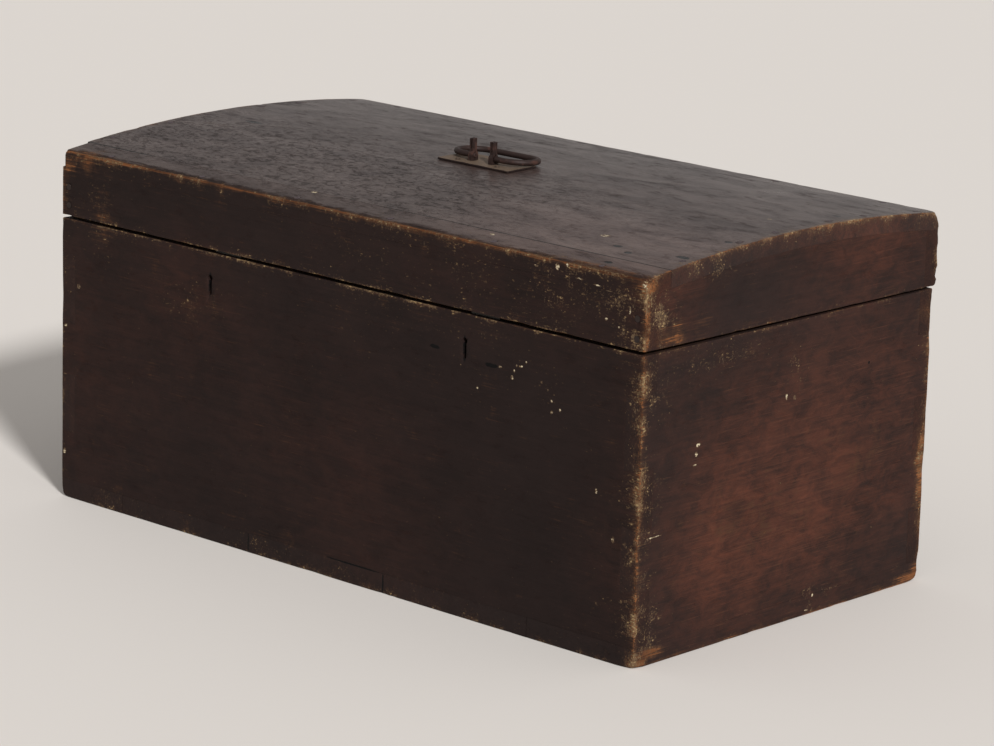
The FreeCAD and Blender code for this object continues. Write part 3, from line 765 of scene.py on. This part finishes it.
def greyed_coat(tree, noises, long_way, depth_way, folds, cracks, flakes):
    """Colour of the paint on the top, with a painted sheen that makes it paler to the front right."""
    smeared = add(tree, "MapRange", {0: noises["smears"], 1: 0.3, 2: 0.7}, **smooth)
    grey = add(tree, "Mix", {0: smeared, 6: grey_paint, 7: smeared_paint}, **mixed)
    # painted sheen: the grey is painted paler towards the front and towards the right
    back = add(tree, "MapRange", between(depth_way, painted_sheen_back, 0.42, 0.08), **smooth)
    right = add(tree, "MapRange", between(long_way, painted_sheen_right), **smooth)
    painted_sheen = add(tree, "Math", {0: back, 1: right}, **product)
    painted_sheen = add(tree, "Math", {0: painted_sheen, 1: 0.64}, operation="ADD")
    grey = add(tree, "VectorMath", {0: grey, 3: painted_sheen}, operation="SCALE")
    faint_folds = add(tree, "Math", {0: folds, 1: 0.25}, **product)
    grey = add(tree, "Mix", {0: faint_folds, 6: grey, 7: fold_colour}, **mixed)
    faint_cracks = add(tree, "Math", {0: cracks, 1: 0.6}, **product)
    grey = add(tree, "Mix", {0: faint_cracks, 6: grey, 7: crack_colour}, **mixed)
    return add(tree, "Mix", {0: flakes, 6: grey, 7: flake_colour}, **mixed)


print("fringe on the top about", fringe_stretch[1] - fringe_stretch[0], "mm wide")

# %% [markdown]
# ## Rubbed through
# Rubbing thins the paint first, which shows as a brown border, and then goes through to the wood.
# The weight of each point says how likely that is, and a sum of patterns of several sizes makes
# the border ragged, as hard summer lines keep their paint longer than soft spring wood.

# %% Rubbed paint
thinned_paint = "#462e1f"


def rubbed_off(tree, noises, weight, coat, bare):
    """Colour where the paint may be rubbed, and the share that is rubbed through."""
    rubbed = add(tree, "Math", {0: weight["rubbed"]}, operation="EXPONENT")
    edge = total(tree, rubbed, [(noises["streaks"], 0.4), (noises["fibres"], 0.9),
                                (noises["grit"], 0.6), (noises["breaks"], 1.0)])
    thinned = add(tree, "MapRange", {0: edge, 1: 1.65, 2: 2.1, 4: 0.75}, **smooth)
    through = add(tree, "MapRange", {0: edge, 1: 2.05, 2: 2.2}, **smooth)
    colour = add(tree, "Mix", {0: thinned, 6: coat, 7: thinned_paint}, **mixed)
    return add(tree, "Mix", {0: through, 6: colour, 7: bare}, **mixed), through


print("paint goes to", thinned_paint, "before it is rubbed through")

# %% [markdown]
# ## Scuffs and specks
# Under the brown lies a pale ground, laid on the wood before the paint. It shows as brownish scuffs,
# short upright scrapes and cream specks, more of them where the weight is high, and in clumps.
# Single chips that the eye knows from the photograph are ellipsoids at their own places.

# %% Scuffs and specks
scuff_colour = "#54412d"
scrape_colour = "#75614a"
speck_border = "#574432"
ground_colour = "#967d59"
chip_colour = "#cdbfa2"


def scuffed(tree, noises, weight, chips_near, colour):
    """Colour with scuffs, scrapes and specks of the ground laid over it."""
    flecked = add(tree, "Math", {0: weight["flecked"]}, operation="EXPONENT")
    clumps = add(tree, "MapRange", {0: noises["breaks"], 1: 0.38, 2: 0.62, 3: 0.5, 4: 1.2}, **smooth)
    density = add(tree, "Math", {0: flecked, 1: clumps}, **product)
    density = add(tree, "Math", {0: density, 1: chips_near}, operation="MAXIMUM")

    scuffs = total(tree, noises["specks"], [(noises["grit"], 0.5), (density, 0.42)])
    scuffs = add(tree, "MapRange", {0: scuffs, 1: 0.98, 2: 1.12, 4: 0.7}, **smooth)
    colour = add(tree, "Mix", {0: scuffs, 6: colour, 7: scuff_colour}, **mixed)
    scrapes = total(tree, noises["scrapes"], [(density, 0.4)])
    scrapes = add(tree, "MapRange", {0: scrapes, 1: 0.78, 2: 0.88, 4: 0.6}, **smooth)
    colour = add(tree, "Mix", {0: scrapes, 6: colour, 7: scrape_colour}, **mixed)

    specks = add(tree, "Math", {0: noises["specks"], 1: noises["grit"]}, operation="ADD")
    specks = total(tree, specks, [(density, 0.48)])
    ground = add(tree, "Mix", {0: chips_near, 6: ground_colour, 7: chip_colour}, **mixed)
    pale = add(tree, "MapRange", {0: specks, 1: 1.4, 2: 1.6}, **smooth)
    pale = add(tree, "Mix", {0: pale, 6: speck_border, 7: ground}, **mixed)
    seen = add(tree, "MapRange", {0: specks, 1: 1.4, 2: 1.5}, **smooth)
    return add(tree, "Mix", {0: seen, 6: colour, 7: pale}, **mixed)


print("specks about", patterns["specks"][0], "mm wide")

# %% [markdown]
# ## The paint as one material
# The layers go on as they did on the chest: wood, paint, grey on top, rubbing, scuffs, and last the
# old nail holes. Wear also shows as relief and as gloss, so the same shares drive a bump and the
# roughness: the sides are dull, the top still shines between its cracks. A painted pine board has a
# weak reflection, so its specular level stays a low constant for each material.
# The holes are painted near black, as painted shade inside them.

# %% Painted pine
# painted shade: near black inside holes, slots, keyholes and open seams
hole_shade_colour = "#070505"
relief_strength = 0.4
relief_depth = 0.8
side_roughness = 0.65
top_roughness = 0.17


def painted_pine(name, grain_axis, holes, chips_off, sheen, greying):
    """Dark paint over pine, worn at the arrises, grey on top and bare inside."""
    material, tree, sizes = empty_material(name)
    facing = add(tree, "SeparateXYZ", {0: add(tree, "TexCoord", {}, out="Normal")}, out="Z")
    long_way = add(tree, "SeparateXYZ", {0: sizes}, out="X")
    depth_way = add(tree, "SeparateXYZ", {0: sizes}, out="Y")
    weight = {
        key: add(tree, "Attribute", {}, out="Fac", attribute_name=key)
        for key in ("rubbed", "flecked", "ruddy", "painted", "dirt")
    }
    noises = {key: drawn_out(tree, sizes, grain_axis, *pattern) for key, pattern in patterns.items()}
    noises["scrapes"] = drawn_out(tree, sizes, upright_axis, *scrape_pattern)

    rings = growth_rings(tree, noises)
    bare = add(tree, "Mix", {0: rings, 6: summer_wood, 7: spring_wood}, **mixed)
    upward = top_share(tree, noises, facing, depth_way, greying)
    folds, cracks, flakes = top_damage(tree, noises, long_way, depth_way)
    grey = greyed_coat(tree, noises, long_way, depth_way, folds, cracks, flakes)
    coat = add(tree, "Mix", {0: upward, 6: paint_coat(tree, noises, weight), 7: grey}, **mixed)
    colour, through = rubbed_off(tree, noises, weight, coat, bare)
    chips_near = nearest_mark(tree, sizes, chips_off)
    chips_near = add(tree, "MapRange", {0: chips_near, 1: 0.4, 2: 1.3, 3: 0.95, 4: 0.0}, **smooth)
    colour = scuffed(tree, noises, weight, chips_near, colour)
    raw = unpainted(tree, noises, weight, rings)
    colour = add(tree, "Mix", {0: weight["painted"], 6: raw, 7: colour}, **mixed)
    # painted shade: holes, slots, keyholes and open seams are painted near black, and pressed in by the bump
    shaded_holes = total(tree, nearest_mark(tree, sizes, holes), [(noises["grit"], 1.0)])
    shaded_holes = add(tree, "MapRange", {0: shaded_holes, 1: 1.25, 2: 1.55, 3: 1.0, 4: 0.0}, **smooth)
    colour = add(tree, "Mix", {0: shaded_holes, 6: colour, 7: hole_shade_colour}, **mixed)

    height = total(tree, noises["grit"], [(noises["streaks"], 0.5), (through, -0.8), (folds, -0.7),
                                          (cracks, -0.6), (shaded_holes, -1.5)])
    bump = add(tree, "Bump", {"Height": height, "Strength": relief_strength,
                              "Distance": relief_depth * mm})
    dull = add(tree, "MapRange", {0: upward, 3: side_roughness, 4: top_roughness}, **smooth)
    dull = total(tree, dull, [(noises["smears"], 0.3), (cracks, 0.2), (folds, 0.15)])
    shader = add(tree, "BsdfPrincipled", {"Base Color": colour, "Roughness": dull, "Normal": bump,
                                          "Specular IOR Level": sheen})
    add(tree, "OutputMaterial", {"Surface": shader}, out=None)
    print(name, len(tree.nodes), "nodes")
    return material


# %% [markdown]
# ## Single marks
# Some marks are known one by one: old nail holes, slots beside the right keyhole, seams that have
# opened along the bottom, and cream chips. Each is an ellipsoid with a place and three half
# lengths, so a slot, a dot and a long crack are the same kind of mark.
# The holes, slots, keyholes and open seams are painted near black, as painted shade inside them.

# %% Holes and chips
# place and half lengths
bottom_seam = ((42, -272, 25), (52, 9, 1.3))
# nail slots, both keyholes and the open bottom seam; near black as painted shade
front_holes = [
    ((171, -272, 326), (9, 6, 2.6)), ((264, -272, 320), (11, 6, 2.8)), ((220, -262, 333), (3.4, 40, 17)),
    ((-220, -262, 333), (3.4, 40, 17)), bottom_seam,
]
front_chips = [
    ((297, -272, 312), (3.4, 5, 3.4)), ((300, -272, 320), (2, 5, 3)), ((304, -272, 327), (2, 5, 2)),
    ((312, -272, 328), (2, 5, 1.6)), ((319, -272, 334), (1.6, 5, 2)), ((354, -272, 307), (2, 5, 2)),
    ((344, -272, 315), (2, 5, 2.4)), ((360, -272, 295), (2.4, 5, 2.4)), ((361, -272, 282), (3, 5, 3)),
    ((374, -272, 287), (2.2, 5, 2.4)), ((242, -272, 289), (2.2, 5, 2.4)), ((434, -272, 202), (2.6, 5, 4)),
    ((462, -272, 149), (3, 5, 5)), ((443, -272, 442), (7, 5, 1.6)), ((476, -272, 424), (2, 5, 5)),
    ((440, -272, 408), (3, 5, 2.4)), ((460, -272, 402), (2, 5, 2)), ((481, -272, 395), (4, 5, 4)),
    ((-496, -272, 307), (4, 5, 3)), ((-468, -272, 288), (4, 5, 4)), ((-493, -272, 232), (4, 5, 3)),
    ((-494, -272, 165), (5, 5, 3)), ((-495, -272, 62), (4, 5, 6)), ((278, -272, 321), (4, 5, 2)),
]
# a nail hole and the open joints of the bottom boards; near black as painted shade
end_holes = [
    ((500, 150, 300), (3, 2, 2)), ((93, -272, 11), (1.5, 9, 14)), ((-145, -272, 11), (1.4, 9, 14)),
    bottom_seam,
]
end_chips = [
    ((500, -169, 252), (5, 5, 3)), ((500, -172, 242), (5, 3, 4)), ((500, -174, 229), (5, 5, 2)),
    ((500, -8, 283), (5, 3, 5)), ((500, 8, 280), (5, 3.5, 4)), ((500, -244, 155), (5, 18, 1.0)),
    ((500, 60, 23), (5, 2.4, 3)), ((500, 50, 6), (5, 5, 1.5)),
]
# nail holes and the joint behind the strip; near black as dirt in the joint and as painted shade
top_holes = [
    ((386, -193, 474), (7, 4, 6)), ((413, -206, 472), (6, 4, 6)), ((479, -185, 474), (11, 5, 6)),
    ((478, -102, 479), (7, 4, 6)), ((472, 107, 484), (7, 4, 6)), ((418, -246, 467), (6, 4, 6)),
    ((-407, -19, 484), (16, 5, 6)), ((-460, -229, 469), (105, 1.5, 9)),
    ((310, -229, 469), (330, 1.0, 9)),
]
top_chips = [
    ((345, -169, 476), (9, 6, 6)), ((436, 24, 485), (5, 4, 6)), ((229, -239, 468), (6, 4, 5)),
    ((-78, -231, 469), (6, 4, 5)),
]
strip_chips = top_chips + [
    ((363, -272, 457), (4, 6, 6)), ((378, -272, 461), (2, 6, 4)), ((398, -272, 448), (8, 5, 1.3)),
    ((425, -272, 445), (8, 5, 1.1)), ((330, -272, 452), (4, 5, 1.8)), ((495, -272, 456), (4, 6, 5)),
]
print(len(front_chips) + len(end_chips) + len(strip_chips), "single chips")

# %% [markdown]
# ## Four paints
# All boards have the same paint, but not the same grain and marks. Boards along the front have
# grain along the chest, the ends have it across. The top has gone grey and kept more gloss, and the
# strip at its front is grey on top and dull on its face.

# %% Paint for each kind of board
# dull dark brown with faint streaks along the chest
front_paint = painted_pine("painted pine, grain along", 0, front_holes, front_chips, 0.16, 0.0)
# the same paint, a little redder and glossier where light falls on the ends
end_paint = painted_pine("painted pine, grain across", 1, end_holes, end_chips, 0.2, 0.0)
# grey and crackled, with a broken gloss
top_paint = painted_pine("painted pine, lid top", 0, top_holes, top_chips, 0.3, 1.0)
# grey above, brown and worn to a bare line at the front arris
strip_paint = painted_pine("painted pine, lid strip", 0, top_holes, strip_chips, 0.16, 1.0)

# %% [markdown]
# ## All the boards
# Now each board is aged by one call. A board's own settling sets it a little below its neighbours,
# so joints catch the light, and its joint width is the small bevel on its own edges. The boards of
# the top have the finest joints, because paint has filled them.

# %% Worn boards
# body, axis of the grain, settling, joint width, slot and material
boards = {
    "front_board": ("box", 0, 0.0, 0.4, "painted_pine", front_paint),
    "back_board": ("box", 0, 0.0, 0.4, "painted_pine", front_paint),
    "left_end_board": ("box", 1, 0.15, 0.4, "painted_pine", end_paint),
    "right_end_board": ("box", 1, 0.15, 0.4, "painted_pine", end_paint),
    "lid_front_rail": ("lid", 0, 0.0, 0.4, "painted_pine", front_paint),
    "lid_back_rail": ("lid", 0, 0.0, 0.4, "painted_pine", front_paint),
    "lid_left_end": ("lid", 1, 0.15, 0.4, "painted_pine", end_paint),
    "lid_right_end": ("lid", 1, 0.15, 0.4, "painted_pine", end_paint),
    "lid_front_strip": ("lid", 0, 0.0, 0.5, "painted_pine", strip_paint),
    "lid_top_board_1": ("lid", 0, 0.0, 0.15, "painted_pine", top_paint),
    "lid_top_board_2": ("lid", 0, 0.0, 0.15, "painted_pine", top_paint),
    "lid_top_board_3": ("lid", 0, 0.0, 0.15, "painted_pine", top_paint),
}
for number in range(1, 6):
    boards["bottom_board_%d" % number] = ("box", 1, 0.2 * (number % 3), 0.3, "bottom_pine", end_paint)
for node, choices in boards.items():
    age_board(node, *choices)

# %% [markdown]
# ## Iron
# Smiths forged the handle, hinges and locks from bar and sheet. Such iron is nearly black where the
# scale still sits, brown where it has rusted, and lighter on rubbed edges. Its surface is never
# quite flat. Nail heads in the wood were painted with it, so they hardly show. Scale and rust are
# mostly oxides, so the material is only partly metallic. Real pits are finer than a pixel, so they
# are drawn as coarse as they need to show.

# %% Iron finishes
bloom_width = 14.0
pit_width = 2.2
pit_depth = 0.4
pit_strength = 0.5
scale_metal = 0.35
rust_metal = 0.05
rust_roughness = 0.85


def rusty_iron(name, scale_colour, rust_colour, rust_share, roughness, shaded_side_colour=None):
    """Forged iron with patches of rust, and where a side colour is given, sides painted dark as shade."""
    material, tree, sizes = empty_material(name)
    blooms = add(tree, "TexNoise", {"Vector": sizes, "Scale": 1 / bloom_width, "Detail": 5.0,
                                    "Roughness": 0.65})
    pits = add(tree, "TexNoise", {"Vector": sizes, "Scale": 1 / pit_width, "Detail": 3.0,
                                  "Roughness": 0.6})
    rust = add(tree, "MapRange", {0: blooms, 1: 0.6 - rust_share, 2: 0.75 - rust_share}, **smooth)
    tint = add(tree, "MapRange", {0: pits, 1: 0.3, 2: 0.7, 3: 0.7, 4: 1.25})
    colour = add(tree, "Mix", {0: rust, 6: scale_colour, 7: rust_colour}, **mixed)
    if shaded_side_colour:
        # painted light and shade: faces that look up keep the paler colour, the sides take the dark shaded
        # colour
        facing = add(tree, "SeparateXYZ", {0: add(tree, "TexCoord", {}, out="Normal")}, out="Z")
        upward = add(tree, "MapRange", {0: facing, 1: 0.6, 2: 0.9}, **smooth)
        colour = add(tree, "Mix", {0: upward, 6: shaded_side_colour, 7: colour}, **mixed)
    colour = add(tree, "VectorMath", {0: colour, 3: tint}, operation="SCALE")
    metal = add(tree, "MapRange", {0: rust, 3: scale_metal, 4: rust_metal}, **smooth)
    dull = add(tree, "MapRange", {0: rust, 3: roughness, 4: rust_roughness}, **smooth)
    height = total(tree, pits, [(blooms, 1.5)])
    bump = add(tree, "Bump", {"Height": height, "Strength": pit_strength, "Distance": pit_depth * mm})
    shader = add(tree, "BsdfPrincipled", {"Base Color": colour, "Metallic": metal, "Roughness": dull,
                                          "Normal": bump})
    add(tree, "OutputMaterial", {"Surface": shader}, out=None)
    print(name, len(tree.nodes), "nodes")
    return material


# red brown and dull, as rod and bar that hands still polish a little
handle_iron = rusty_iron("forged iron, rusty", "#30201c", "#452a21", 0.1, 0.6)
# a plate pale on its face, partly rubbed and partly a painted highlight, with sides painted dark as shade
shaded_plate_iron = rusty_iron("iron plate, rubbed, with painted shade and highlight", "#6f5d4d", "#4f3c32", 0.0, 0.65, "#281916")
# dark sheet with a faint shine, kept dry inside the chest
lock_iron = rusty_iron("sheet iron, dark", "#2f2b28", "#3d2a20", 0.0, 0.5)
# heads as dark as the paint around them
nail_paint = rusty_iron("painted nail heads", "#291c18", "#34231b", 0.1, 0.65)
# heads as grey as the top
top_nail_paint = rusty_iron("painted nail heads, greyed", "#54474a", "#463a38", 0.1, 0.55)

# %% [markdown]
# ## Forged pieces
# A smith's bar keeps hammer marks and has no sharp edge. Each piece of iron that shows is a merged
# copy of its CAD mesh with a broken edge, cut into a fine grid, and dented inwards a little. Dents
# only go in, so that pins and journals still turn freely in their eyes.

# %% Forged iron
dent_length = 9.0
# an edge is broken where it is more than this many breaks long
shortest_edge = 4


def forge(node, body, slot, material, edge, step, dent):
    """Make the hammered piece that stands for a CAD piece of iron."""
    bm = gridded(node, 0, edge, step, step, edge * shortest_edge)[0]
    points = np.array([vert.co for vert in bm.verts])
    bm.normal_update()
    depth = dent * (0.5 + 0.5 * wander(points, dent_length, 4))
    for vert, sink in zip(bm.verts, depth):
        vert.co = (vert.co - vert.normal * sink) * mm
    mesh = bpy.data.meshes.new("forged_" + node)
    bm.to_mesh(mesh)
    bm.free()
    return shown("forged_" + node, mesh, body, node, material)


# body, slot, material, broken edge, grid step and depth of dents
forged = {
    "handle_plate": ("lid", "wrought_iron", shaded_plate_iron, 0.6, 7.0, 0.5),
    "handle_bail": ("bail", "wrought_iron", handle_iron, 0.4, 5.0, 0.3),
}
for side in ("left", "right"):
    forged["handle_%s_lug" % side] = ("lid", "wrought_iron", handle_iron, 0.6, 3.0, 0.25)
    forged["%s_hinge_lower_strap" % side] = ("box", "wrought_iron", handle_iron, 0.5, 9.0, 0.25)
    forged["%s_hinge_upper_strap" % side] = ("lid", "wrought_iron", handle_iron, 0.5, 9.0, 0.25)
    forged["%s_lock_case" % side] = ("box", "lock_iron", lock_iron, 0.4, 9.0, 0.2)
    forged["%s_lock_strike" % side] = ("lid", "lock_iron", lock_iron, 0.4, 9.0, 0.2)
for node, choices in forged.items():
    forge(node, *choices)

# %% [markdown]
# ## Small pieces
# Nails, pins, roves, bolts and springs are small or hidden, so they keep their CAD meshes and only
# get a finish. The piece's name tells which: lock parts are dark sheet, nails have the colour of the
# paint around them, and the rest is rusty bar.

# %% Finish of the small pieces
small_finish = {"lock": lock_iron, "nails": nail_paint, "lid_top_nails": top_nail_paint,
                "handle_nails": shaded_plate_iron}
kept = [name for name in nodes if name not in boards and name not in forged]
for name in kept:
    chosen = handle_iron
    for word, material in small_finish.items():
        if word in name:
            chosen = material
    nodes[name].data.materials.clear()
    nodes[name].data.materials.append(chosen)
print("kept as they are:", ", ".join(kept))
